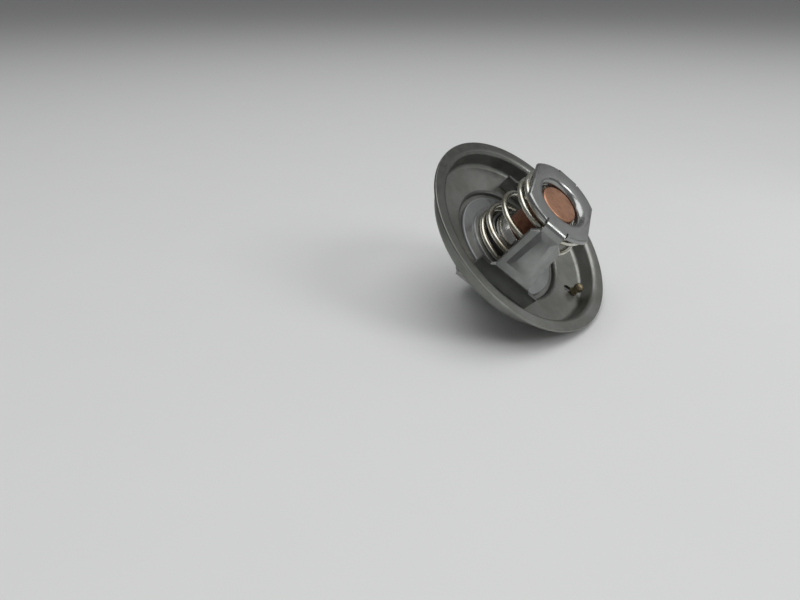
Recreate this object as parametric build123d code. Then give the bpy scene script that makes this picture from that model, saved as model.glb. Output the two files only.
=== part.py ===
"""Engine thermostat with a sheet-metal flange, a wax capsule and a flat valve disc.

Millimetres. The valve axis is Z, and +Z points to the capsule, the engine side. The origin lies on
the axis, in the plane of the flange's lip, so whatever sinks below the lip has a negative height.
The two arms of the spring cage stand at -Y and +Y, and the jiggle pin at +X.
"""
from build123d import *
import math
import os

os.makedirs("parts", exist_ok=True)

# ---------------------------------------------------------------- driving dimensions
# Flange: one stamping with a flat lip, a bowl and a recessed valve seat
rim_radius = 33.5
flange_sheet = 1.0
rim_round = 0.5
lip_width = 4.1
lip_bend = 1.0
wall_draft = 0.3
bowl_depth = 5.8
bowl_bend = 2.0
floor_fall = 1.0
seat_wall_radius = 19.2
seat_step = 1.8
seat_bend = 0.8
seat_ledge = 3.9
port_neck = 2.0

# Valve disc
disc_sheet = 1.0
disc_overlap = 2.4
disc_edge_round = 0.35

# Spring cage: plate with a guide hole, two leaning arms, wide feet and clinched tongues
cage_height = 15.7
cage_sheet = 1.2
cage_plate_radius = 13.7
cage_plate_width = 22.2
cage_edge_round = 0.8
cage_arm_root = 13.5
cage_foot_gap = 0.3
cage_bend_drop = 0.75
cage_top_bend = 1.7
cage_foot_bend = 1.8
neck_width = 6.6
neck_slit = 0.6
neck_length = 2.9
shoulder_length = 1.4
arm_top_width = 10.8
arm_foot_width = 12.0
foot_width = 20.6
foot_shoulder_rise = 0.35
foot_shoulder_drop = 0.55
foot_shoulder_width = 1.1
rib_top_end_width = 6.4
rib_foot_end_width = 8.6
rib_flank = 1.7
rib_height = 0.8
rib_start = 2.5
rib_length = 12.6
tongue_width = 12.0
tongue_bend = 1.2
tongue_reach = 3.1

# Outlet bridge: a strap bent to a trough, crown at the far end, forked feet under the flange
bridge_depth = 25.6
bridge_sheet = 1.2
bridge_width = 11.0
bridge_foot_width = 20.0
bridge_crown_half = 5.2
bridge_bend = 1.6
bridge_foot_reach = 3.6
bridge_fork_height = 4.2
bridge_boss_radius = 6.8
bridge_boss_length = 8.6

# Piston and the power capsule that slides on it
piston_radius = 2.0
piston_top_drop = 6.2
piston_tail_radius = 1.5
piston_head_radius = 3.0
piston_head_height = 0.7
piston_head_chamfer = 0.35
running_clearance = 0.04
guide_neck_radius = 4.6
guide_length = 9.9
guide_body_radius = 8.5
guide_wall = 0.8
crimp_top = 0.5
crimp_radius = 7.2
crimp_thickness = 0.95
crimp_rise = 2.9
crimp_bulge = 0.2
cup_radius = 6.2
cup_wall = 0.8
cup_flange_sheet = 0.8
cup_edge_round = 0.8
cup_recess = 1.2
cup_hole_clearance = 0.85
hole_collar_bend = 1.5
hole_collar_depth = 1.6
diaphragm_thickness = 1.4
plug_mouth_radius = 4.0
plug_length = 2.8
backing_disc_thickness = 0.6
seal_radius = 3.4
seal_thickness = 1.4
seal_cap_sheet = 0.6
ring_width = 1.8
ring_thickness = 1.0
groove_depth = 0.4

# Main spring and the flanged cup that centres it on the valve disc
wire_diameter = 1.8
spring_mean_radius = 11.7
spring_pitch = 7.1
flat_end_turns = 0.5
closed_end_turns = 0.9
spring_points_per_turn = 16
spring_start_angle = 75.0
spring_seat_sheet = 0.8
spring_seat_radius = 13.9
spring_cup_radius = 9.6
spring_cup_height = 4.1
spring_cup_bend = 0.6

# Jiggle pin in its slot through the bowl's floor
jiggle_wall_gap = 2.8
jiggle_slot_width = 2.6
jiggle_slot_length = 4.7
jiggle_slot_shift = 1.05
jiggle_stem_radius = 0.8
jiggle_foot_radius = 1.45
jiggle_neck_radius = 1.15
jiggle_ball_radius = 1.55
jiggle_ball_height = 2.5
jiggle_foot_height = 0.9
jiggle_foot_edge = 0.4
jiggle_keeper_radius = 1.9
jiggle_keeper_thickness = 0.8
jiggle_travel = 1.4
jiggle_tail = 0.5

# Clearances shared by pieces that only rest on each other
slot_clearance = 0.15
contact_gap = 0.02

# ---------------------------------------------------------------- heights and radii that follow
half_sheet = flange_sheet / 2
wall_top_radius = rim_radius - lip_width
bowl_radius = wall_top_radius - wall_draft
port_radius = seat_wall_radius - seat_ledge
floor_slope = floor_fall / (bowl_radius - seat_wall_radius)
seat_z = -(bowl_depth + floor_fall + seat_step)
disc_top = seat_z + disc_sheet
disc_radius = port_radius + disc_overlap
seat_wall_back = seat_wall_radius + flange_sheet
plate_under = cage_height - cage_sheet
foot_y = seat_wall_back + cage_foot_gap + cage_sheet / 2
cup_top = cage_height - cup_recess
guide_hole_radius = cup_radius + cup_hole_clearance
cup_flange_top = crimp_top - crimp_thickness - contact_gap
diaphragm_top = cup_flange_top - cup_flange_sheet
pocket_floor = diaphragm_top - diaphragm_thickness
pocket_radius = guide_body_radius - guide_wall
guide_bottom = seat_z - guide_length
bridge_foot_drop = flange_sheet + contact_gap
spring_seat_top = disc_top + spring_seat_sheet
jiggle_offset = bowl_radius - jiggle_wall_gap


def floor_top(radius):
    """Height of the bowl floor's upper face at a distance from the axis."""
    return -bowl_depth - (bowl_radius - radius) * floor_slope


# ---------------------------------------------------------------- shape helpers
def bent_strip(points, bends, thickness):
    """Face of a bent sheet: its middle line through the points, with a bend at each inner one."""
    return trace(FilletPolyline(*points, radius=bends), thickness)


def turned(face):
    """Solid of revolution of a face drawn as (radius, height)."""
    return revolve(Plane.XZ * face, axis=Axis.Z)


def turned_outline(*points):
    """Solid of revolution of a closed outline of (radius, height) corners."""
    return turned(make_face(Polyline(*points, close=True)))


def ring(outer_radius, inner_radius, bottom, top):
    """Flat ring about the axis between two heights."""
    corners = [(inner_radius, bottom), (outer_radius, bottom), (outer_radius, top), (inner_radius, top)]
    return turned_outline(*corners)


def block(x_range, y_range, z_range):
    """Box given by its low and high coordinate along each axis."""
    sides = [high - low for low, high in (x_range, y_range, z_range)]
    middle = [(low + high) / 2 for low, high in (x_range, y_range, z_range)]
    return Pos(*middle) * Box(*sides)


def mirrored_outline(half_points, depth):
    """Plate symmetric about the YZ plane, from (x, z) corners of its +X half, as deep as +-depth in Y."""
    other_half = [(-x, z) for x, z in reversed(half_points)]
    face = Plane.XZ * make_face(Polyline(*half_points, *other_half, close=True))
    return extrude(face, amount=depth, both=True)


# ---------------------------------------------------------------- flange
def make_flange():
    """Stamped flange: lip, bowl, seat step and port neck, pierced for tongues and jiggle pin."""
    path = [
        (rim_radius, -half_sheet),
        (wall_top_radius + half_sheet, -half_sheet),
        (bowl_radius + half_sheet, floor_top(bowl_radius + half_sheet) - half_sheet),
        (seat_wall_radius + half_sheet, floor_top(seat_wall_radius + half_sheet) - half_sheet),
        (seat_wall_radius + half_sheet, seat_z - half_sheet),
        (port_radius + half_sheet, seat_z - half_sheet),
        (port_radius + half_sheet, seat_z - flange_sheet - port_neck),
    ]
    bends = [lip_bend, bowl_bend, seat_bend, seat_bend, seat_bend]
    flange = turned(bent_strip(path, bends, flange_sheet))
    rim_edges = flange.edges().filter_by(GeomType.CIRCLE).sort_by(SortBy.RADIUS)[-2:]
    flange = fillet(rim_edges.sort_by(Axis.Z)[-1], rim_round)
    slot_x = tongue_width / 2 + slot_clearance
    slot_y = cage_sheet / 2 + slot_clearance
    depth = (seat_z - flange_sheet, 0)
    for side in (-1, 1):
        centre = side * foot_y
        flange -= block((-slot_x, slot_x), (centre - slot_y, centre + slot_y), depth)
    slot = extrude(SlotOverall(jiggle_slot_length, jiggle_slot_width), amount=bowl_depth * 2, both=True)
    return flange - Pos(jiggle_offset - jiggle_slot_shift, 0, 0) * slot


# ---------------------------------------------------------------- spring cage
plate_middle = cage_height - cage_sheet / 2
foot_corner = math.hypot(foot_width / 2, foot_y + cage_sheet / 2)
foot_bottom = floor_top(foot_corner) + contact_gap
arm_run = Vector(0, foot_y - cage_arm_root, -cage_bend_drop - plate_middle)
tongue_drop = bridge_foot_drop + bridge_sheet + contact_gap + cage_sheet / 2
collar_middle = guide_hole_radius + cage_sheet / 2


def make_cage_arm():
    """Neck, leaning arm with its pressed rib, wide foot and clinched tongue on the +Y side."""
    tongue_tip = foot_y + tongue_reach
    path = [
        (collar_middle + 2 * hole_collar_bend, plate_middle),
        (cage_arm_root, plate_middle),
        (foot_y, -cage_bend_drop),
        (foot_y, floor_top(foot_y) - tongue_drop),
        (tongue_tip, floor_top(tongue_tip) - tongue_drop),
    ]
    strip = Plane.YZ * bent_strip(path, [cage_top_bend, cage_foot_bend, tongue_bend], cage_sheet)
    strip = extrude(strip, amount=foot_width / 2, both=True)
    neck_bottom = cage_height - neck_length
    shoulder_bottom = neck_bottom - shoulder_length
    shoulder_top = -cage_bend_drop - foot_shoulder_drop
    outline = [
        (neck_width / 2, cage_height + cage_sheet),
        (neck_width / 2, neck_bottom),
        (arm_top_width / 2, shoulder_bottom),
        (arm_foot_width / 2, -cage_bend_drop + foot_shoulder_rise),
        (arm_foot_width / 2 + foot_shoulder_width, shoulder_top),
        (foot_width / 2, shoulder_top),
        (foot_width / 2, foot_bottom),
        (tongue_width / 2, foot_bottom),
        (tongue_width / 2, foot_bottom - tongue_drop * 2),
    ]
    arm = strip & mirrored_outline(outline, foot_y * 2)
    outward = Vector(0, -arm_run.Z, arm_run.Y).normalized()
    down_arm = arm_run.normalized()
    rib_origin = Vector(0, cage_arm_root, plate_middle) + down_arm * rib_start

    def rib_face(offset, inset):
        """Rib outline on a plane at an offset from the arm's middle, drawn in from the base outline."""
        plane = Plane(rib_origin + outward * offset, x_dir=(1, 0, 0), z_dir=outward)
        upper = rib_top_end_width / 2 - inset
        lower = rib_foot_end_width / 2 - inset
        end = rib_length - inset
        corners = [(-upper, inset), (upper, inset), (lower, end), (-lower, end)]
        return plane * make_face(Polyline(*corners, close=True))

    def rib(offset):
        """Pressed rib as a low frustum whose base lies at an offset from the arm's middle."""
        return loft([rib_face(offset, 0), rib_face(offset + rib_height, rib_flank)])

    return arm - rib(-cage_sheet / 2) + rib(cage_sheet / 2)


def make_cage():
    """Cage: round-ended plate with its guide hole's edge turned down, and an arm on each side."""
    outline = Circle(cage_plate_radius) & Rectangle(cage_plate_width, 2 * cage_plate_radius)
    plate = Pos(0, 0, plate_under) * extrude(outline, amount=cage_sheet)
    plate = fillet(plate.faces().sort_by(Axis.Z)[-1].edges(), cage_edge_round)
    collar_outer = collar_middle + 2 * hole_collar_bend
    plate -= Pos(0, 0, plate_middle) * Cylinder(collar_outer, cage_sheet)
    collar_path = [
        (collar_outer, plate_middle),
        (collar_middle, plate_middle),
        (collar_middle, plate_under - hole_collar_depth),
    ]
    plate += turned(bent_strip(collar_path, [hole_collar_bend], cage_sheet))
    arm = make_cage_arm()
    notch_x = neck_width / 2 + neck_slit
    notch_y = cage_arm_root - cage_top_bend
    height = (plate_under - cage_sheet, cage_height + cage_sheet)
    for side in (-1, 1):
        ends = sorted((side * notch_y, side * (cage_plate_radius + cage_sheet)))
        plate -= block((-notch_x, notch_x), ends, height)
    return plate + arm + mirror(arm, about=Plane.XZ)


# ---------------------------------------------------------------- outlet bridge
def make_bridge():
    """Bridge strap: crown across the axis, legs at a slant, feet flat under the flange's floor."""
    foot_inner = foot_y + bridge_sheet / 2
    foot_outer = foot_inner + bridge_foot_reach
    drop = bridge_foot_drop + bridge_sheet / 2
    crown_middle = -bridge_depth + bridge_sheet / 2
    path = [
        (-foot_outer, floor_top(foot_outer) - drop),
        (-foot_inner, floor_top(foot_inner) - drop),
        (-bridge_crown_half, crown_middle),
        (bridge_crown_half, crown_middle),
        (foot_inner, floor_top(foot_inner) - drop),
        (foot_outer, floor_top(foot_outer) - drop),
    ]
    strip = Plane.YZ * bent_strip(path, [bridge_bend] * 4, bridge_sheet)
    strip = extrude(strip, amount=bridge_foot_width / 2, both=True)
    fork_bottom = floor_top(foot_inner) - drop - bridge_fork_height
    widening = (bridge_foot_width - bridge_width) / 2
    outline = [
        (bridge_foot_width / 2, 0),
        (bridge_foot_width / 2, fork_bottom),
        (bridge_width / 2, fork_bottom - widening),
        (bridge_width / 2, -bridge_depth - bridge_sheet),
    ]
    bridge = strip & mirrored_outline(outline, foot_outer * 2)
    fork_x = tongue_width / 2 + slot_clearance
    fork_y = foot_y + tongue_bend + slot_clearance
    for side in (-1, 1):
        span = sorted((side * seat_wall_radius / 2, side * fork_y))
        bridge -= block((-fork_x, fork_x), span, (fork_bottom, 0))
    boss_limits = Box(bridge_boss_radius * 2, bridge_boss_length, bridge_sheet)
    boss = Cylinder(bridge_boss_radius, bridge_sheet) & boss_limits
    tail_hole = Cylinder(piston_tail_radius + running_clearance, bridge_sheet * 2)
    return bridge + Pos(0, 0, crown_middle) * boss - Pos(0, 0, crown_middle) * tail_hole


# ---------------------------------------------------------------- piston
def make_piston():
    """Piston pin: shoulder on the crown, tail through it, and a riveted head outside."""
    crown_top = -bridge_depth + bridge_sheet + contact_gap
    crown_under = -bridge_depth - contact_gap
    head_bottom = crown_under - piston_head_height
    outline = [
        (0, head_bottom),
        (piston_head_radius - piston_head_chamfer, head_bottom),
        (piston_head_radius, crown_under),
        (piston_tail_radius, crown_under),
        (piston_tail_radius, crown_top),
        (piston_radius, crown_top),
        (piston_radius, -piston_top_drop),
        (0, -piston_top_drop),
    ]
    return turned_outline(*outline)


# ---------------------------------------------------------------- power capsule
cone_bottom = pocket_floor - plug_length
bore_radius = piston_radius + running_clearance
seal_seat = guide_bottom + seal_thickness + seal_cap_sheet


def make_guide_body():
    """Guide body: neck with the piston bore, shoulder on the disc, pocket and crimped-over rim."""
    groove_radius = guide_neck_radius - groove_depth
    lower = Polyline(
        (crimp_radius, crimp_top),
        (cup_radius + running_clearance, crimp_top),
        (cup_radius + running_clearance, crimp_top - crimp_thickness),
        (pocket_radius, crimp_top - crimp_thickness),
        (pocket_radius, pocket_floor),
        (plug_mouth_radius, pocket_floor),
        (bore_radius, cone_bottom),
        (bore_radius, seal_seat),
        (seal_radius, seal_seat),
        (seal_radius, guide_bottom),
        (guide_neck_radius, guide_bottom),
        (guide_neck_radius, seat_z - ring_thickness),
        (groove_radius, seat_z - ring_thickness),
        (groove_radius, seat_z),
        (guide_neck_radius, seat_z),
        (guide_neck_radius, disc_top),
        (guide_body_radius, disc_top),
        (guide_body_radius, crimp_top - crimp_rise),
    )
    bulge = (guide_body_radius - crimp_bulge, crimp_top - crimp_rise / 2)
    rim = ThreePointArc(lower @ 1, bulge, (crimp_radius, crimp_top))
    return turned(make_face(lower + rim))


def make_wax_cup():
    """Drawn copper cup, closed end towards +Z, with the flange that the guide body grips."""
    outline = [
        (cup_radius - cup_wall, diaphragm_top),
        (pocket_radius - contact_gap, diaphragm_top),
        (pocket_radius - contact_gap, cup_flange_top),
        (cup_radius, cup_flange_top),
        (cup_radius, cup_top),
        (0, cup_top),
        (0, cup_top - cup_wall),
        (cup_radius - cup_wall, cup_top - cup_wall),
    ]
    cup = turned_outline(*outline)
    return fillet(cup.edges().sort_by(Axis.Z)[-1], cup_edge_round)


def make_rubber_plug():
    """Rubber plug that fills the cone between the diaphragm and the piston's bore."""
    top = pocket_floor - contact_gap
    bottom = cone_bottom + contact_gap
    mouth = plug_mouth_radius - contact_gap
    return turned_outline((0, top), (mouth, top), (bore_radius - contact_gap, bottom), (0, bottom))


# ---------------------------------------------------------------- spring and its seat
def make_spring_seat():
    """Flanged cup round the guide body: its flange carries the spring, its wall centres it."""
    middle = disc_top + spring_seat_sheet / 2
    wall = spring_cup_radius - spring_seat_sheet / 2
    path = [(spring_seat_radius, middle), (wall, middle), (wall, disc_top + spring_cup_height)]
    return turned(bent_strip(path, [spring_cup_bend], spring_seat_sheet))


def make_main_spring():
    """Compression spring: each end lies flat, then clears itself by a wire, then the open coils run."""
    bottom = spring_seat_top + wire_diameter / 2 + contact_gap
    top = plate_under - wire_diameter / 2 - contact_gap
    closed_pitch = (wire_diameter + 2 * contact_gap) / (1 - flat_end_turns)
    closed_rise = closed_pitch * closed_end_turns
    open_turns = (top - bottom - 2 * closed_rise) / spring_pitch
    total_turns = 2 * (flat_end_turns + closed_end_turns) + open_turns

    def rise_from_end(turns):
        """Height that the wire has gained at a number of turns from either of its ends."""
        closed = min(max(turns - flat_end_turns, 0), closed_end_turns)
        opened = max(turns - flat_end_turns - closed_end_turns, 0)
        return closed * closed_pitch + opened * spring_pitch

    def wire_centre(turns):
        angle = math.radians(spring_start_angle + 360 * turns)
        if turns < total_turns / 2:
            height = bottom + rise_from_end(turns)
        else:
            height = top - rise_from_end(total_turns - turns)
        return spring_mean_radius * math.cos(angle), spring_mean_radius * math.sin(angle), height

    steps = round(total_turns * spring_points_per_turn)
    path = Spline(*[wire_centre(total_turns * step / steps) for step in range(steps + 1)]).edge()
    section = Plane(path @ 0, z_dir=path % 0) * Circle(wire_diameter / 2)
    return sweep(section, path=path, is_frenet=True)


# ---------------------------------------------------------------- jiggle pin
jiggle_floor = floor_top(jiggle_offset + jiggle_foot_radius) + contact_gap
jiggle_under = floor_top(jiggle_offset - jiggle_keeper_radius) - flange_sheet
keeper_top = jiggle_under - jiggle_travel


def make_jiggle_pin():
    """Turned pin: ball on a waisted foot above the floor, stem through the slot."""
    ball_centre = jiggle_floor + jiggle_ball_height
    tail = keeper_top - jiggle_keeper_thickness - jiggle_tail
    outline = [
        (0, ball_centre),
        (jiggle_neck_radius, ball_centre),
        (jiggle_neck_radius, jiggle_floor + jiggle_foot_height),
        (jiggle_foot_radius, jiggle_floor + jiggle_foot_edge),
        (jiggle_foot_radius, jiggle_floor),
        (jiggle_stem_radius, jiggle_floor),
        (jiggle_stem_radius, tail),
        (0, tail),
    ]
    pin = turned_outline(*outline) + Pos(0, 0, ball_centre) * Sphere(jiggle_ball_radius)
    return Pos(jiggle_offset, 0, 0) * pin


def make_jiggle_keeper():
    """Round keeper staked on the stem under the flange."""
    keeper_bottom = keeper_top - jiggle_keeper_thickness
    keeper = ring(jiggle_keeper_radius, jiggle_stem_radius + contact_gap, keeper_bottom, keeper_top)
    return Pos(jiggle_offset, 0, 0) * keeper


# ---------------------------------------------------------------- nodes
def make_valve_disc():
    """Flat valve disc with both outer edges rounded."""
    disc = ring(disc_radius, guide_neck_radius + contact_gap, seat_z, disc_top)
    outer_edges = disc.edges().filter_by(GeomType.CIRCLE).sort_by(SortBy.RADIUS)[-2:]
    return fillet(outer_edges, disc_edge_round)


backing_top = cone_bottom - contact_gap

nodes = {
    "flange_plate": make_flange(),
    "spring_cage": make_cage(),
    "outlet_bridge": make_bridge(),
    "piston": make_piston(),
    "main_spring": make_main_spring(),
    "valve_disc": make_valve_disc(),
    "spring_seat": make_spring_seat(),
    "guide_body": make_guide_body(),
    "wax_cup": make_wax_cup(),
    "wax_charge": ring(cup_radius - cup_wall, 0, diaphragm_top, cup_top - cup_wall),
    "diaphragm": ring(pocket_radius - contact_gap, 0, pocket_floor, diaphragm_top),
    "rubber_plug": make_rubber_plug(),
    "backing_disc": ring(piston_radius, 0, backing_top - backing_disc_thickness, backing_top),
    "guide_seal": ring(seal_radius, bore_radius, seal_seat - seal_thickness, seal_seat),
    "seal_cap": ring(seal_radius, bore_radius, guide_bottom, guide_bottom + seal_cap_sheet),
    "retaining_ring": ring(
        guide_neck_radius - groove_depth + ring_width,
        guide_neck_radius - groove_depth,
        seat_z - ring_thickness,
        seat_z,
    ),
    "jiggle_pin": make_jiggle_pin(),
    "jiggle_keeper": make_jiggle_keeper(),
}

for name, shape in nodes.items():
    export_step(shape, f"parts/{name}.step")
    solids = shape.solids()
    print(name, len(solids), "solid", round(sum(solid.volume for solid in solids), 2), "mm3")
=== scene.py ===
"""Engine thermostat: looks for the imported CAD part, built piece by piece in the part's own frame.

Outlines are in millimetres and become metres in the mesh. Z is the valve axis, with the wax capsule
towards +Z, the cage's arms at -Y and +Y, and the jiggle pin at +X.
"""
import math

import bmesh
import bpy
import numpy as np
from mathutils import Matrix, Vector


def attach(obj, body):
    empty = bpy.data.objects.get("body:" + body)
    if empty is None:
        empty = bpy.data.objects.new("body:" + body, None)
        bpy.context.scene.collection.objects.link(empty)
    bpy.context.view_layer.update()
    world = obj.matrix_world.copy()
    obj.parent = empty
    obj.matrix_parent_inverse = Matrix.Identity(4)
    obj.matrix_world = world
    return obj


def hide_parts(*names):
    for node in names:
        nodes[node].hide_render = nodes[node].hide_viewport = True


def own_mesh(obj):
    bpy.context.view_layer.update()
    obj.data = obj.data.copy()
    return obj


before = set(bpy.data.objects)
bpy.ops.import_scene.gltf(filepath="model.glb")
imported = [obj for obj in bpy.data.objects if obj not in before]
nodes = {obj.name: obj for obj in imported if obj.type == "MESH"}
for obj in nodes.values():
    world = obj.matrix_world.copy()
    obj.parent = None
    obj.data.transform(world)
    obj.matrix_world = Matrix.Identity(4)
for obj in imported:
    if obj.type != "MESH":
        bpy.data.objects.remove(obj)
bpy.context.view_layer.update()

# ------------------------------------------------------------------ flange plate
# The flange is drawn from one disc of stainless sheet: a flat lip, a bowl, a recessed seat for the
# valve disc, and a short neck round the port. It is pierced for the cage's tongues and for the jiggle
# pin, and left unpolished.
MM = 0.001
scene = bpy.context.scene


class Wire:
    """An output of a material's nodes. Arithmetic on it adds the Math node of that operation."""

    def __init__(self, tree, socket=None):
        self.tree = tree
        self.socket = socket

    def node(self, kind, sockets=None, out=0, **settings):
        """Adds a node: its settings first, then the values or links of its sockets."""
        made = self.tree.nodes.new("ShaderNode" + kind)
        for name, value in settings.items():
            setattr(made, name, value)
        for key, value in (sockets or {}).items():
            if isinstance(value, Wire):
                self.tree.links.new(value.socket, made.inputs[key])
            else:
                made.inputs[key].default_value = value
        return Wire(self.tree, made.outputs[out] if made.outputs else None)

    def maths(self, operation, first, second):
        return self.node("Math", {0: first, 1: second}, operation=operation)

    def __add__(self, other):
        return self.maths("ADD", self, other)

    def __sub__(self, other):
        return self.maths("SUBTRACT", self, other)

    def __rsub__(self, other):
        return self.maths("SUBTRACT", other, self)

    def __mul__(self, other):
        return self.maths("MULTIPLY", self, other)

    __radd__ = __add__
    __rmul__ = __mul__

    def mix(self, low, high):
        """Colour between two colours, by this output."""
        sockets = {"Factor": self, 6: low, 7: high}
        return self.node("Mix", sockets, out=2, data_type="RGBA", clamp_factor=True)


def finish(name, base, metallic, roughness, bump=None):
    """Material whose base colour, roughness and bump are functions of the place on the piece in mm.

    The bump's function gives a height, a strength, and a distance in metres.
    """
    material = bpy.data.materials.new(name)
    material.use_nodes = True
    tree = material.node_tree
    tree.nodes.clear()
    start = Wire(tree)
    place = start.node("TexCoord", out="Object")
    place = start.node("Mapping", {"Vector": place, "Scale": (1 / MM, 1 / MM, 1 / MM)})
    sockets = {"Base Color": base(place), "Metallic": metallic, "Roughness": roughness(place)}
    if bump:
        height, strength, distance = bump(place)
        relief = {"Height": height, "Strength": strength, "Distance": distance}
        sockets["Normal"] = place.node("Bump", relief)
    shader = start.node("BsdfPrincipled", sockets)
    start.node("OutputMaterial", {"Surface": shader})
    return material


def noise(place, scale, detail=3.0, roughness=0.55, stretch=(1, 1, 1)):
    """Grain of a size in mm (one over scale), drawn out along an axis whose stretch is below one."""
    vector = place.node("Mapping", {"Vector": place, "Scale": stretch})
    sockets = {"Vector": vector, "Scale": scale, "Detail": detail, "Roughness": roughness}
    return place.node("TexNoise", sockets)


def spread(value, low, high, out_low=0.0, out_high=1.0):
    """Value between two limits, eased to run from one output to the other."""
    names = {"Value": value, "From Min": low, "From Max": high, "To Min": out_low, "To Max": out_high}
    return value.node("MapRange", names, interpolation_type="SMOOTHSTEP")


def uneven(place, least, most, scale, **grain):
    """Roughness that drifts between two values in patches of a grain's size."""
    return spread(noise(place, scale, **grain), 0.3, 0.7, least, most)


def radius_of(place):
    """Distance from the valve axis in mm."""
    flat = place.node("VectorMath", {0: place, 1: (1, 1, 0)}, operation="MULTIPLY")
    return flat.node("VectorMath", {0: flat}, out="Value", operation="LENGTH")


nearly_straight = math.radians(89.5)
arc_steps = 7


def rounded(corners, closed=True):
    """Outline through corners (r, z, radius): one with a radius becomes an arc touching both sides."""
    points = np.asarray(corners, float)
    line = []
    count = len(points)
    for index, (r, z, radius) in enumerate(points):
        here = np.array((r, z))
        inner = closed or 0 < index < count - 1
        if radius <= 0 or not inner:
            line.append(here[None])
            continue
        back = points[index - 1, :2] - here
        ahead = points[(index + 1) % count, :2] - here
        back /= np.linalg.norm(back)
        ahead /= np.linalg.norm(ahead)
        half = math.acos(np.clip(back @ ahead, -1, 1)) / 2
        if half > nearly_straight:
            line.append(here[None])
            continue
        middle = here + (back + ahead) / np.linalg.norm(back + ahead) * radius / math.sin(half)
        first = here + back * radius / math.tan(half) - middle
        last = here + ahead * radius / math.tan(half) - middle
        sweep = math.pi - 2 * half
        share = np.linspace(0, 1, max(arc_steps, int(arc_steps * sweep)))[:, None]
        arc = (np.sin((1 - share) * sweep) * first + np.sin(share * sweep) * last) / math.sin(sweep)
        line.append(middle + arc)
    return np.vstack(line)


def bent_sheet(path, bends, thickness, edge):
    """Closed outline of a bent sheet: its middle path, moved half a thickness to each side."""
    points = np.asarray(path, float)
    runs = np.diff(points, axis=0)
    runs /= np.linalg.norm(runs, axis=1)[:, None]
    normals = runs[:, ::-1] * (-1, 1)
    half = thickness / 2
    turn = np.sign(runs[:-1, 0] * runs[1:, 1] - runs[:-1, 1] * runs[1:, 0])
    mitre = (normals[:-1] + normals[1:]) / (1 + (normals[:-1] * normals[1:]).sum(1))[:, None]
    offset = np.vstack([normals[:1], mitre, normals[-1:]]) * half
    radii = np.asarray(bends, float)
    left_radii = np.concatenate([[edge], radii - turn * half, [edge]])
    right_radii = np.concatenate([[edge], radii + turn * half, [edge]])
    left = np.column_stack([points + offset, left_radii])
    right = np.column_stack([points - offset, right_radii])
    return rounded(np.vstack([left, right[::-1]]))


def smooth(mesh, fold=38):
    """Smooth shading, apart from edges that fold by more than an angle in degrees."""
    mesh.polygons.foreach_set("use_smooth", np.ones(len(mesh.polygons), bool))
    mesh.set_sharp_from_angle(angle=math.radians(fold))


def add(name, data):
    """Object put in the scene for a mesh, a camera or a lamp."""
    item = bpy.data.objects.new(name, data)
    scene.collection.objects.link(item)
    return item


same_place = 1e-7
on_the_axis = 1e-9


def shell(name, points, wrap_u, wrap_v):
    """Mesh of a grid of points (u, v) in mm: a face joins four neighbours, and a wrapped way closes."""
    nu, nv = points.shape[:2]
    rows = np.arange(nu if wrap_u else nu - 1)
    columns = np.arange(nv if wrap_v else nv - 1)
    u, v = np.meshgrid(rows, columns, indexing="ij")
    u2, v2 = (u + 1) % nu, (v + 1) % nv
    faces = np.stack([u * nv + v, u * nv + v2, u2 * nv + v2, u2 * nv + v], -1).reshape(-1, 4)
    mesh = bpy.data.meshes.new(name)
    mesh.from_pydata((points.reshape(-1, 3) * MM).tolist(), [], faces.tolist())
    work = bmesh.new()
    work.from_mesh(mesh)
    bmesh.ops.remove_doubles(work, verts=work.verts, dist=same_place)
    work.to_mesh(mesh)
    work.free()
    smooth(mesh)
    return add(name, mesh)


def turned(name, outline, steps, centre=0.0):
    """Surface of revolution: (r, z) goes to (centre + r cos a, r sin a, z) for every angle a."""
    line = np.asarray(outline, float)[:, :2]
    r, z = line.T
    if (r * np.roll(z, -1) - np.roll(r, -1) * z).sum() < 0:
        r, z = r[::-1], z[::-1]
    pole = r < on_the_axis
    if pole.any():
        first = int(np.flatnonzero(pole & ~np.roll(pole, -1))[0])
        r, z = np.roll(r, -first), np.roll(z, -first)
        poles = np.flatnonzero(r < on_the_axis)
        last = int(poles[1]) if len(poles) > 1 else len(r) - 1
        r, z = r[: last + 1], z[: last + 1]
    angle = np.linspace(0, 2 * np.pi, steps, endpoint=False)
    x = centre + np.outer(r, np.cos(angle))
    y = np.outer(r, np.sin(angle))
    height = np.outer(z, np.ones_like(angle))
    return shell(name, np.stack([x, y, height], -1), not pole.any(), True)


def cut(piece, tool):
    """Takes the tool's shape out of a piece and removes the tool."""
    step = piece.modifiers.new("cut", "BOOLEAN")
    step.operation = "DIFFERENCE"
    step.solver = "EXACT"
    step.object = tool
    evaluated = piece.evaluated_get(bpy.context.evaluated_depsgraph_get())
    mesh = bpy.data.meshes.new_from_object(evaluated)
    piece.modifiers.clear()
    piece.data = mesh
    smooth(mesh)
    bpy.data.objects.remove(tool)


def prism(name, outline, low, high):
    """Straight prism on a closed outline (x, y), between two heights."""
    outline = np.asarray(outline, float)
    x, y = outline.T
    if (x * np.roll(y, -1) - np.roll(x, -1) * y).sum() < 0:
        outline = outline[::-1]
    count = len(outline)
    points = np.vstack([np.column_stack([outline, np.full(count, z)]) for z in (low, high)])
    ring = np.arange(count)
    sides = np.column_stack([ring, (ring + 1) % count, (ring + 1) % count + count, ring + count])
    caps = [ring[::-1].tolist(), (ring + count).tolist()]
    mesh = bpy.data.meshes.new(name)
    mesh.from_pydata((points * MM).tolist(), [], caps + sides.tolist())
    return add(name, mesh)


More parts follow.
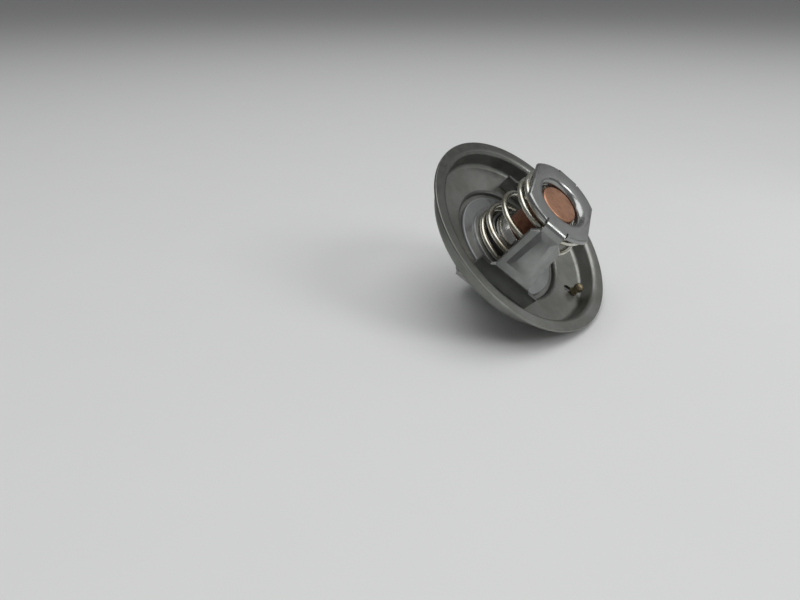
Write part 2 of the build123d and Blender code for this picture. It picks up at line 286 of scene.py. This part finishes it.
def steel_colour(place, light=(0.29, 0.295, 0.278, 1), dark=(0.225, 0.23, 0.21, 1)):
    """Bare stainless, from a lighter to a darker grey in broad cloudy patches, with small stains."""
    cloud = spread(noise(place, 0.11, 4.0), 0.35, 0.68)
    stain = spread(noise(place, 0.9, 5.0, 0.7), 0.55, 0.75, 0.0, 0.35)
    return (cloud + stain).mix(light, dark)


def steel_roughness(place):
    """Satin with finer and coarser patches."""
    return uneven(place, 0.30, 0.44, scale=0.5, detail=4.0) + 0.06 * noise(place, 6.0, 2.0)


def rings_of(place, scale, detail):
    """Rings about the valve axis, of a width in mm (one over scale)."""
    sockets = {"W": radius_of(place) * scale, "Scale": 1.0, "Detail": detail}
    return place.node("TexNoise", sockets, noise_dimensions="1D")


def drawn_grain(place):
    """Drawing marks: faint rings about the axis, a fine tooth, and a few scratches."""
    rings = rings_of(place, 2.2, 4.0)
    tooth = noise(place, 7.0, 2.0)
    scratch = spread(noise(place, 1.4, 2.0, 0.5, (1, 0.04, 1)), 0.60, 0.64)
    return rings * 0.5 + tooth * 0.22 - scratch * 0.25, 0.22, 0.00012


flange_sheet = 1.0
flange_bends = [1.0, 2.0, 0.8, 0.8, 0.8]
flange_edge = 0.32
rim_radius = 33.5
wall_top = 29.9
wall_foot = 29.6
step_radius = 19.7
seat_middle = -9.1
port_radius = 15.8
port_end = -11.6
floor_inner_radius = 19.2
floor_inner_top = -6.8
floor_slope = 1.0 / 9.9
# Dark grey mixed in as painted shade on the flange's lip and wall.
flange_painted_shade = (0.12, 0.123, 0.112, 1)


def flange_colour(place):
    """Bare sheet, with painted shade on the lip and the wall, deepest away from the jiggle pin."""
    along_x = place.node("SeparateXYZ", {0: place})
    # Painted shade: the lip and the wall darken towards -X, away from the pin.
    away_from_pin = spread(along_x, -36, 16, 0.6, 0.0)
    lip_and_wall = spread(radius_of(place), 28.0, wall_foot)
    return (away_from_pin * lip_and_wall).mix(steel_colour(place), flange_painted_shade)


flange_steel = finish(
    "flange_steel",
    base=flange_colour,
    metallic=0.92,
    roughness=steel_roughness,
    bump=drawn_grain,
)


def floor_top(radius):
    """Height of the bowl floor's upper face at a radius: the floor rises outwards in a straight line."""
    return floor_inner_top + (radius - floor_inner_radius) * floor_slope


flange_path = [
    (rim_radius, -flange_sheet / 2),
    (wall_top, -flange_sheet / 2),
    (wall_foot, floor_top(wall_foot) - flange_sheet / 2),
    (step_radius, floor_top(step_radius) - flange_sheet / 2),
    (step_radius, seat_middle),
    (port_radius, seat_middle),
    (port_radius, port_end),
]
flange_outline = bent_sheet(flange_path, flange_bends, flange_sheet, flange_edge)
flange = turned("flange", flange_outline, steps=540)

tool_low = -9.0
tongue_tool_high = -5.0
jiggle_tool_high = -4.0
slot_half = 6.15
slot_inner = 20.35
slot_outer = 21.85
tongue_slot = [
    (-slot_half, slot_inner),
    (slot_half, slot_inner),
    (slot_half, slot_outer),
    (-slot_half, slot_outer),
]
for side in (-1, 1):
    tool = prism("tongue_slot", np.array(tongue_slot) * (1, side), tool_low, tongue_tool_high)
    cut(flange, tool)

pin_axis = 26.3
slot_inner_axis = 24.2
slot_radius = 1.3
bend = np.linspace(-math.pi / 2, math.pi / 2, 13)
outer_end = np.column_stack([pin_axis + slot_radius * np.cos(bend), slot_radius * np.sin(bend)])
inner_end = np.column_stack([slot_inner_axis - slot_radius * np.cos(bend), -slot_radius * np.sin(bend)])
jiggle_slot = np.vstack([outer_end, inner_end])
cut(flange, prism("jiggle_slot", jiggle_slot, tool_low, jiggle_tool_high))
flange.data.materials.append(flange_steel)
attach(flange, "frame")
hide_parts("flange_plate")

# ------------------------------------------------------------------ spring cage
# One stamping holds the spring down: a guide plate with a flared hole, two leaning arms stiffened by
# a pressed rib, and wide feet whose tongues pass through the flange and are clinched under the bridge.
merge_distance = 2e-6
flat_enough = math.radians(0.6)
least_bevelled = math.radians(28)
# Dark grey mixed in as painted shade on the cage's feet and arms.
cage_painted_shade = (0.12, 0.125, 0.12, 1)


def pressed(name, node, edge):
    """Copy of a CAD stamping: doubles merged, flat faces joined, and its edges broken by a width in mm."""
    mesh = nodes[node].data.copy()
    mesh.name = name
    work = bmesh.new()
    work.from_mesh(mesh)
    bmesh.ops.remove_doubles(work, verts=work.verts, dist=merge_distance)
    bmesh.ops.dissolve_limit(work, angle_limit=flat_enough, verts=work.verts, edges=work.edges)
    work.to_mesh(mesh)
    work.free()
    mesh.materials.clear()
    smooth(mesh, 30)
    piece = add(name, mesh)
    bevel = piece.modifiers.new("broken_edges", "BEVEL")
    bevel.width = edge * MM
    bevel.segments = 3
    bevel.limit_method = "ANGLE"
    bevel.angle_limit = least_bevelled
    bevel.harden_normals = True
    return piece


def cage_grain(place):
    """Rolling marks along the strip, a fine tooth, and shallow handling dents."""
    rolled = noise(place, 3.0, 3.0, 0.6, (1, 0.06, 0.06))
    dents = noise(place, 0.35, 2.0)
    return rolled * 0.4 + dents * 0.8 + noise(place, 8.0, 2.0) * 0.15, 0.25, 0.00015


def burnished_roughness(place):
    """Satin sheet, polished where the press tool bent it below the plate."""
    height = place.node("SeparateXYZ", {0: place}, out=2)
    neck_bend = spread(height, 12.6, 13.8) * spread(height, 15.2, 15.66, 1.0, 0.0)
    return steel_roughness(place) - 0.04 - 0.17 * neck_bend


def cage_colour(place):
    """Bare sheet, with painted shade on the feet and on the arms' side away from the pin."""
    steel = steel_colour(place, (0.35, 0.357, 0.351, 1), (0.285, 0.292, 0.286, 1))
    height = place.node("SeparateXYZ", {0: place}, out=2)
    along_x = place.node("SeparateXYZ", {0: place})
    # Painted shade: the feet, and the arms' side towards -X, are mixed towards the dark grey.
    on_feet = spread(height, -4.6, -1.4, 0.0, 0.75) * spread(height, -1.0, -0.2, 1.0, 0.0)
    on_arms = spread(height, -1.0, 0.0) * spread(height, 11.5, 13.5, 1.0, 0.0)
    painted_shade = on_feet + spread(along_x, -6.5, 4.0, 0.62, 0.0) * on_arms
    return painted_shade.mix(steel, cage_painted_shade)


cage_steel = finish(
    "cage_steel",
    base=cage_colour,
    metallic=0.95,
    roughness=burnished_roughness,
    bump=cage_grain,
)
cage = pressed("cage", "spring_cage", 0.16)
cage.data.materials.append(cage_steel)
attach(cage, "frame")
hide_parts("spring_cage")

# ------------------------------------------------------------------ outlet bridge
# A strap of the same sheet crosses under the flange and carries the piston. Its forked feet lie
# under the bowl's floor, and its crown widens to an eye round the piston's riveted head.
bridge = pressed("bridge", "outlet_bridge", 0.14)
bridge.data.materials.append(cage_steel)
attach(bridge, "frame")
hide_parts("outlet_bridge")

# ------------------------------------------------------------------ piston
# A ground steel pin, on which the capsule slides and against which its plug pushes. The tail passes
# through the bridge and is riveted over outside it.
piston_radius = 2.0
tail_radius = 1.5
head_radius = 3.0
head_flat = 2.3
head_end = -26.32
crown_outside = -25.62
crown_inside = -24.38
piston_tip = -6.2
piston_outline = [
    (0, head_end, 0),
    (head_flat, head_end, 0.5),
    (head_radius, crown_outside, 0.12),
    (tail_radius, crown_outside, 0),
    (tail_radius, crown_inside, 0),
    (piston_radius, crown_inside, 0.05),
    (piston_radius, piston_tip, 0.3),
    (0, piston_tip, 0),
]


def clouded(light, dark, scale, low, high):
    """Base colour that drifts from light to dark in patches of a grain's size."""
    return lambda place: spread(noise(place, scale), low, high).mix(light, dark)


pin_steel = finish(
    "pin_steel",
    base=clouded((0.60, 0.61, 0.62, 1), (0.46, 0.46, 0.45, 1), scale=0.6, low=0.3, high=0.7),
    metallic=1.0,
    roughness=lambda place: uneven(place, 0.16, 0.30, scale=2.0, roughness=0.5, stretch=(1, 1, 6)),
    bump=lambda place: (noise(place, 3.0, 3.0, 0.6, (0.3, 0.3, 8)), 0.12, 0.00005),
)
piston = turned("piston_pin", rounded(piston_outline), steps=96)
piston.data.materials.append(pin_steel)
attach(piston, "frame")
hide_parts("piston")

# ------------------------------------------------------------------ main spring
# Round stainless wire, wound to the right. Each end lies flat for half a turn and is wound closer for
# most of the next. It stands on the flanged cup and pushes up under the cage's plate.
wire_radius = 0.9
coil_radius = 11.7
flat_turns = 0.5
close_turns = 0.9
close_pitch = 3.68
open_pitch = 7.1
easing_turns = 0.06
spring_foot = -5.88
spring_head = 13.58
start_angle = np.radians(75)
open_turns = (spring_head - spring_foot - 2 * close_turns * close_pitch) / open_pitch
all_turns = 2 * (flat_turns + close_turns) + open_turns
turns = np.linspace(0, all_turns, 1600)


def eased(turn, start):
    """Zero before a start and rising one for one after it: width times log(1 + exp(way past / width))."""
    return easing_turns * np.log1p(np.exp((turn - start) / easing_turns))


def gained(turn):
    """Height gained at a number of turns from an end: flat, then at the close pitch, then the open one."""
    extra_pitch = open_pitch - close_pitch
    return close_pitch * eased(turn, flat_turns) + extra_pitch * eased(turn, flat_turns + close_turns)


lower_half = turns < all_turns / 2
heights = np.where(lower_half, spring_foot + gained(turns), spring_head - gained(all_turns - turns))
angles = start_angle + turns * 2 * np.pi
spine = np.stack([coil_radius * np.cos(angles), coil_radius * np.sin(angles), heights], -1)


def wire(name, spine, radius, around=20):
    """Round wire along a path: each ring is radius (cos b side + sin b up), square to the path.

    Two smaller rings in the plane of each end, the last of no size, close it with a flat face.
    """
    along = np.gradient(spine, axis=0)
    along /= np.linalg.norm(along, axis=1)[:, None]
    side = np.column_stack([spine[:, :2], np.zeros(len(spine))])
    side /= np.linalg.norm(side, axis=1)[:, None]
    side -= (side * along).sum(1)[:, None] * along
    side /= np.linalg.norm(side, axis=1)[:, None]
    up = np.cross(along, side)
    b = np.linspace(0, 2 * np.pi, around, endpoint=False)
    rings = np.cos(b)[None, :, None] * side[:, None] + np.sin(b)[None, :, None] * up[:, None]
    end_face = 0.8
    share = np.concatenate([[0, end_face], np.ones(len(spine)), [end_face, 0]])
    spine = np.vstack([spine[:1], spine[:1], spine, spine[-1:], spine[-1:]])
    rings = np.vstack([rings[:1], rings[:1], rings, rings[-1:], rings[-1:]])
    return shell(name, spine[:, None] + rings * (radius * share)[:, None, None], False, True)


spring = wire("coil_spring", spine, wire_radius)
spring_steel = finish(
    "spring_steel",
    base=clouded((0.66, 0.65, 0.59, 1), (0.46, 0.43, 0.34, 1), scale=0.22, low=0.38, high=0.66),
    metallic=1.0,
    roughness=lambda place: uneven(place, 0.20, 0.30, scale=0.5, detail=2.0),
    bump=lambda place: (noise(place, 0.8, 2.0), 0.10, 0.0001),
)
spring.data.materials.append(spring_steel)
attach(spring, "frame")
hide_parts("main_spring")
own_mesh(spring)

# ------------------------------------------------------------------ valve disc
# A flat blanked disc lies on the seat's ledge and closes the port. Fine turning rings cover its face,
# and its edge is broken and left rougher than the rest.
disc_radius = 17.7
disc_bore = 4.62
disc_under = -8.6
disc_face = -7.6
disc_outline = [
    (disc_bore, disc_under, 0.08),
    (disc_radius, disc_under, 0.3),
    (disc_radius, disc_face, 0.35),
    (disc_bore, disc_face, 0.08),
]


def ring_grain(place):
    """Fine concentric rings."""
    return rings_of(place, 9.0, 3.0) + noise(place, 0.5, 2.0) * 0.5, 0.10, 0.00008


disc_steel = finish(
    "disc_steel",
    base=lambda place: steel_colour(place, (0.40, 0.41, 0.415, 1), (0.34, 0.348, 0.352, 1)),
    metallic=0.95,
    roughness=lambda place: steel_roughness(place) + spread(radius_of(place), 17.2, 17.6, -0.02, 0.3),
    bump=ring_grain,
)
disc = turned("disc", rounded(disc_outline), steps=360)
disc.data.materials.append(disc_steel)
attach(disc, "valve")
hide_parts("valve_disc")

# ------------------------------------------------------------------ spring seat
# A small drawn cup of thinner sheet: its flange carries the spring, and its wall keeps the coils
# centred on the capsule.
seat_sheet = 0.8
seat_bend = 0.6
seat_edge = 0.18
seat_rim = 13.9
seat_wall = 9.2
seat_base = disc_face + seat_sheet / 2
seat_top = -3.5
seat_path = [(seat_rim, seat_base), (seat_wall, seat_base), (seat_wall, seat_top)]
seat = turned("seat_cup", bent_sheet(seat_path, [seat_bend], seat_sheet, seat_edge), steps=240)
seat.data.materials.append(cage_steel)
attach(seat, "valve")
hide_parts("spring_seat")

# ------------------------------------------------------------------ guide body
# Turned and plated: a neck with the piston's bore, a shoulder that rests on the disc, and a rim that
# is crimped over the copper cup's flange.
crimp_top = 0.5
crimp_under = -0.45
crimp_mouth = 6.24
crimp_land = 7.2
crimp_bend_radius = 7.95
crimp_bend = -0.95
pocket_radius = 7.7
pocket_floor = -2.67
plug_radius = 4.0
bore_radius = 2.04
bore_top = -5.47
seal_radius = 3.4
seal_top = -16.5
neck_radius = 4.6
neck_end = -18.5
groove_radius = 4.2
groove_under = -9.6
shoulder_radius = 8.5
shoulder_top = -2.4
guide_outline = [
    (crimp_land, crimp_top, 0.2),
    (crimp_mouth, crimp_top, 0.1),
    (crimp_mouth, crimp_under, 0),
    (pocket_radius, crimp_under, 0),
    (pocket_radius, pocket_floor, 0),
    (plug_radius, pocket_floor, 0),
    (bore_radius, bore_top, 0),
    (bore_radius, seal_top, 0),
    (seal_radius, seal_top, 0),
    (seal_radius, neck_end, 0.1),
    (neck_radius, neck_end, 0.35),
    (neck_radius, groove_under, 0.05),
    (groove_radius, groove_under, 0),
    (groove_radius, disc_under, 0),
    (neck_radius, disc_under, 0),
    (neck_radius, disc_face, 0),
    (shoulder_radius, disc_face, 0.1),
    (shoulder_radius, shoulder_top, 1.2),
    (crimp_bend_radius, crimp_bend, 1.6),
]
plate_bright = finish(
    "plate_bright",
    base=clouded((0.60, 0.60, 0.59, 1), (0.46, 0.46, 0.44, 1), scale=0.3, low=0.35, high=0.7),
    metallic=1.0,
    roughness=lambda place: uneven(place, 0.13, 0.24, scale=0.8, detail=2.0),
    bump=lambda place: (noise(place, 1.2, 2.0, 0.5, (1, 1, 0.4)), 0.12, 0.0001),
)
guide = turned("guide", rounded(guide_outline), steps=240)
guide.data.materials.append(plate_bright)
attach(guide, "valve")
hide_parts("guide_body")

# ------------------------------------------------------------------ wax cup
# Deep-drawn copper. Its end face, which shows through the cage's guide hole, is pinkish; its rounded edge
# and the side below are painted browner and darker, as shade on that edge.
cup_radius = 6.2
cup_bore = 5.4
cup_rim = 7.68
rim_under = -1.27
rim_top = -0.47
cup_end = 14.5
cup_end_inside = 13.7
cup_outline = [
    (cup_bore, rim_under, 0),
    (cup_rim, rim_under, 0),
    (cup_rim, rim_top, 0),
    (cup_radius, rim_top, 0),
    (cup_radius, cup_end, 0.8),
    (0, cup_end, 0),
    (0, cup_end_inside, 0),
    (cup_bore, cup_end_inside, 0.3),
]


def copper_colour(place):
    """Pinkish on the end face; browner and darker from its rounded edge down the side, as painted shade;
    with darker finger marks.
    """
    height = place.node("SeparateXYZ", {0: place}, out=2)
    marks = spread(noise(place, 0.45, 5.0, 0.65), 0.42, 0.72, 0.0, 0.6)
    # Painted shade: the end face's rounded edge and the side below it are mixed towards the dark brown.
    side = spread(height, 13.8, 14.42, 0.75, 0.0)
    return (marks + side).mix((0.48, 0.26, 0.165, 1), (0.24, 0.10, 0.065, 1))


copper = finish(
    "copper",
    base=copper_colour,
    metallic=0.85,
    roughness=lambda place: uneven(place, 0.34, 0.50, scale=1.0, detail=4.0),
    bump=lambda place: (noise(place, 5.0, 3.0) + noise(place, 0.4, 2.0) * 0.6, 0.2, 0.0001),
)
cup = turned("cup", rounded(cup_outline), steps=240)
cup.data.materials.append(copper)
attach(cup, "valve")
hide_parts("wax_cup")

# ------------------------------------------------------------------ capsule's inner pieces and rings
# Wax, diaphragm, plug, backing disc and seal are shut inside the capsule; a snap ring under the disc
# and a thin cap over the seal close it from outside.
wax = finish(
    "wax",
    base=lambda place: noise(place, 3.0).mix((0.50, 0.33, 0.22, 1), (0.36, 0.22, 0.14, 1)),
    metallic=0.0,
    roughness=lambda place: uneven(place, 0.45, 0.65, scale=2.0),
)
rubber = finish(
    "rubber",
    base=lambda place: noise(place, 4.0).mix((0.018, 0.018, 0.018, 1), (0.04, 0.04, 0.04, 1)),
    metallic=0.0,
    roughness=lambda place: uneven(place, 0.6, 0.8, scale=5.0),
    bump=lambda place: (noise(place, 12.0), 0.2, 0.00005),
)
for name, material in {
    "wax_charge": wax,
    "diaphragm": rubber,
    "rubber_plug": rubber,
    "guide_seal": rubber,
    "backing_disc": pin_steel,
    "seal_cap": plate_bright,
}.items():
    nodes[name].data.materials.clear()
    nodes[name].data.materials.append(material)
snap_radius = 6.0
snap_outline = [
    (groove_radius, groove_under, 0.1),
    (snap_radius, groove_under, 0.25),
    (snap_radius, disc_under, 0.25),
    (groove_radius, disc_under, 0.1),
]
snap_ring = turned("snap_ring", rounded(snap_outline), steps=160)
snap_ring.data.materials.append(pin_steel)
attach(snap_ring, "valve")
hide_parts("retaining_ring")

# ------------------------------------------------------------------ jiggle pin
# A turned brass pin hangs in its slot: ball and waisted foot above the floor, stem through it, and a
# keeper staked on below. It lets air past while the system fills.
ball_radius = 1.55
waist_radius = 1.15
foot_radius = 1.45
stem_radius = 0.8
keeper_radius = 1.9
keeper_bore = 0.82
keeper_height = 0.8
keeper_gap = 1.4
foot_gap = 0.02
foot_height = 0.4
waist_height = 0.9
ball_height = 2.5
stem_reach = 1.3
pin_floor = floor_top(pin_axis + foot_radius) + foot_gap
ball = pin_floor + ball_height
keeper_top = floor_top(pin_axis - keeper_radius) - flange_sheet - keeper_gap
stem_end = keeper_top - stem_reach
tilt = np.linspace(math.pi / 2, -math.acos(waist_radius / ball_radius), 25)
ball_side = np.column_stack([ball_radius * np.cos(tilt), ball + ball_radius * np.sin(tilt)])
ball_side[0, 0] = 0
waist = [
    (waist_radius, pin_floor + waist_height, 0.3),
    (foot_radius, pin_floor + foot_height, 0.12),
    (foot_radius, pin_floor, 0.1),
    (stem_radius, pin_floor, 0),
    (stem_radius, stem_end, 0.15),
    (0, stem_end, 0),
]


def brass_colour(place):
    """Dull brass with darker patches."""
    patches = spread(noise(place, 0.8, 5.0, 0.7), 0.35, 0.7)
    return patches.mix((0.32, 0.27, 0.17, 1), (0.14, 0.12, 0.08, 1))


brass = finish(
    "jiggle_brass",
    base=brass_colour,
    metallic=0.85,
    roughness=lambda place: uneven(place, 0.36, 0.55, scale=2.5),
    bump=lambda place: (noise(place, 4.0, 3.0), 0.3, 0.0001),
)
jiggle_outline = np.vstack([ball_side, rounded(waist, closed=False)])
jiggle = turned("jiggle", jiggle_outline, steps=96, centre=pin_axis)
jiggle.data.materials.append(brass)
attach(jiggle, "jiggle")
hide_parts("jiggle_pin")
keeper_outline = [
    (keeper_bore, keeper_top - keeper_height, 0.05),
    (keeper_radius, keeper_top - keeper_height, 0.2),
    (keeper_radius, keeper_top, 0.2),
    (keeper_bore, keeper_top, 0.05),
]
keeper = turned("keeper", rounded(keeper_outline), steps=96, centre=pin_axis)
keeper.data.materials.append(brass)
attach(keeper, "jiggle")
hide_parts("jiggle_keeper")

# ------------------------------------------------------------------ camera
# The camera looks down on the capsule's side and is rolled, because the part leans over on a desk.
# Its three directions and its place are in the part's own frame, in metres.
right = Vector((0.77885001, 0.30339365, 0.54894895))
up = Vector((-0.58552368, 0.6654569, 0.46295695))
ahead = Vector((0.22484367, 0.68199663, -0.69593528))
viewpoint = Vector((-0.05819362, -0.14925891, 0.09601677))
camera = add("camera", bpy.data.cameras.new("camera"))
camera.matrix_world = Matrix.Translation(viewpoint) @ Matrix((right, up, -ahead)).transposed().to_4x4()
camera.data.lens = 27
camera.data.sensor_width = 36
camera.data.clip_start = 0.01
scene.camera = camera
scene.view_settings.view_transform = "Standard"

# ------------------------------------------------------------------ desk and light
# A pale desk lies a hair below the bowl's outer corner, on which the part leans, and about a
# millimetre below the bridge's crown. Four lamps and a dim room light it. From below, it can be seen
# through.
camera_pitch = math.radians(28)
desk_up = (math.cos(camera_pitch) * up - math.sin(camera_pitch) * ahead).normalized()
desk_gap = 0.0001
desk_reach = 12


def lowest_point(piece):
    """Least distance of a piece's points along the desk's upward direction, in metres."""
    places = np.empty(3 * len(piece.data.vertices), np.float32)
    piece.data.vertices.foreach_get("co", places)
    return float((places.reshape(-1, 3) @ np.array(desk_up)).min())


lowest = min(lowest_point(piece) for piece in (flange, bridge, piston))
across = right.cross(desk_up).normalized()
centre = desk_up * (lowest - desk_gap)
signs = ((-1, -1), (-1, 1), (1, 1), (1, -1))
corners = [centre + right * a * desk_reach + across * b * desk_reach for a, b in signs]
desk_mesh = bpy.data.meshes.new("desk")
desk_mesh.from_pydata([corner[:] for corner in corners], [], [(0, 1, 2, 3)])
if desk_mesh.polygons[0].normal.dot(desk_up) < 0:
    desk_mesh.flip_normals()
desk = add("desk", desk_mesh)
desk_material = bpy.data.materials.new("desk")
desk_material.use_nodes = True
desk_material.node_tree.nodes.clear()
root = Wire(desk_material.node_tree)
desk_place = root.node("TexCoord", out="Object")
# The desk's own place is in metres, so this scale gives faint mottling of about 25 mm.
mottling = noise(desk_place, 40.0, 3.0)
desk_colour = mottling.mix((0.77, 0.78, 0.775, 1), (0.79, 0.80, 0.795, 1))
top = root.node("BsdfPrincipled", {"Base Color": desk_colour, "Roughness": 0.6})
clear = root.node("BsdfTransparent", {})
behind = root.node("NewGeometry", {}, out="Backfacing")
root.node("OutputMaterial", {"Surface": root.node("MixShader", {0: behind, 1: top, 2: clear})})
desk_mesh.materials.append(desk_material)

world = bpy.data.worlds.new("studio")
scene.world = world
world.use_nodes = True
world.node_tree.nodes.clear()
sky = Wire(world.node_tree)
seen = sky.node("LightPath", {}, out="Is Camera Ray")
pale = sky.node("Background", {"Color": (0.55, 0.56, 0.56, 1), "Strength": 1.0})
soft_light = sky.node("Background", {"Color": (0.50, 0.505, 0.50, 1), "Strength": 0.34})
sky.node("OutputWorld", {"Surface": sky.node("MixShader", {0: seen, 1: soft_light, 2: pale})})


def softbox(name, direction, distance, width, height, watts):
    """Area lamp facing the part, in a direction given in the camera's own right, up and back."""
    to_right, to_up, to_back = direction
    way = (right * to_right + up * to_up - ahead * to_back).normalized()
    lamp = add(name, bpy.data.lights.new(name, "AREA"))
    lamp.data.shape = "RECTANGLE"
    lamp.data.size = width
    lamp.data.size_y = height
    lamp.data.energy = watts
    facing = way.to_track_quat("Z", "Y").to_matrix().to_4x4()
    lamp.matrix_world = Matrix.Translation(way * distance) @ facing


softbox("ceiling", (0.0, 0.82, 0.5), distance=1.0, width=1.1, height=1.1, watts=7.2)
softbox("window", (0.84, 0.54, -0.07), distance=0.21, width=0.1, height=0.1, watts=0.015)
softbox("bulb", (0.70, 0.30, 0.62), distance=1.2, width=0.45, height=0.45, watts=3.4)
softbox("room", (0.36, -0.30, 0.88), distance=1.5, width=1.1, height=1.1, watts=0.4)
